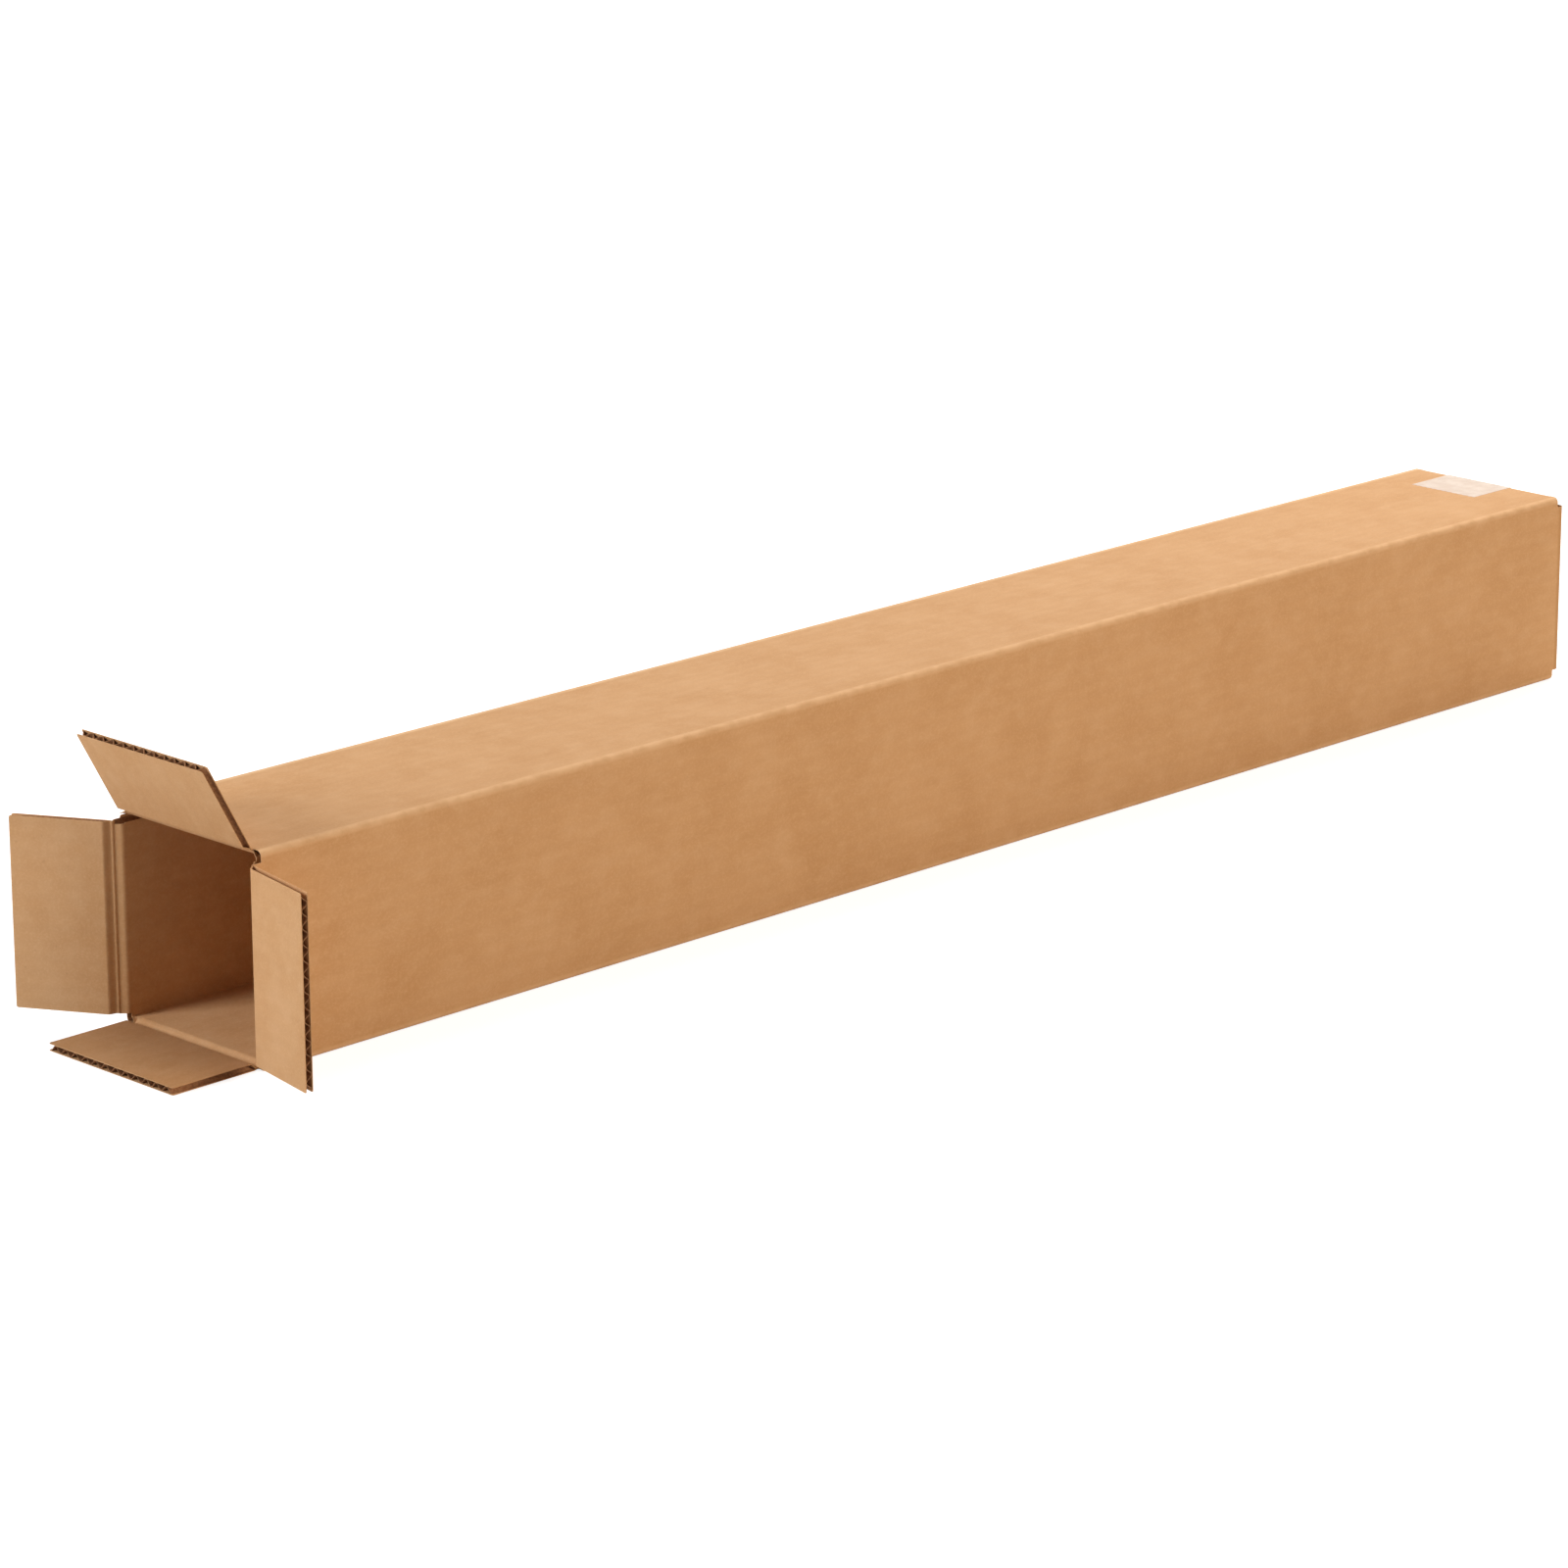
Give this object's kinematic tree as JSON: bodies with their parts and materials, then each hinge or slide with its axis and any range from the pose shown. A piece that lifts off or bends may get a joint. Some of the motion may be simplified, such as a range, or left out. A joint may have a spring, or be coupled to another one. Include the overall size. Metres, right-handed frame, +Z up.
{
  "type": "long shipping box",
  "caption": "Long carton of corrugated board with a nearly square section, taped shut at one end and open at the other, with hinged flaps",
  "frame": {"origin": "centre of the outer face of the bottom panel, which the box lies on", "axes": "+X along the box from the open end to the taped end, +Z up from the bottom panel to the top panel"},
  "size_m": [1.0819, 0.2081, 0.1611],
  "materials": {
    "kraft_board": "matt brown kraft",
    "clear_tape": "milky clear packing tape"
  },
  "bodies": {
    "carton": {"carton": "kraft_board", "end_tape": "clear_tape"},
    "top_flap": {"top_flap": "kraft_board"},
    "bottom_flap": {"bottom_flap": "kraft_board"},
    "front_flap": {"front_flap": "kraft_board"},
    "back_flap": {"back_flap": "kraft_board"}
  },
  "joints": [
    {"name": "top_flap_crease", "type": "hinge", "parent": "carton", "child": "top_flap", "pos_m": [-0.5115, 0, 0.1135], "axis": [0, 1, 0], "range_deg": [-151, 89]},
    {"name": "bottom_flap_crease", "type": "hinge", "parent": "carton", "child": "bottom_flap", "pos_m": [-0.5115, 0, 0.0005], "axis": [0, -1, 0], "range_deg": [-90, 0]},
    {"name": "front_flap_crease", "type": "hinge", "parent": "carton", "child": "front_flap", "pos_m": [-0.5158, -0.0543, 0.057], "axis": [0, 0, 1], "range_deg": [-169, 71]},
    {"name": "back_flap_crease", "type": "hinge", "parent": "carton", "child": "back_flap", "pos_m": [-0.5158, 0.0543, 0.057], "axis": [0, 0, -1], "range_deg": [-149.5, 90.5]}
  ]
}
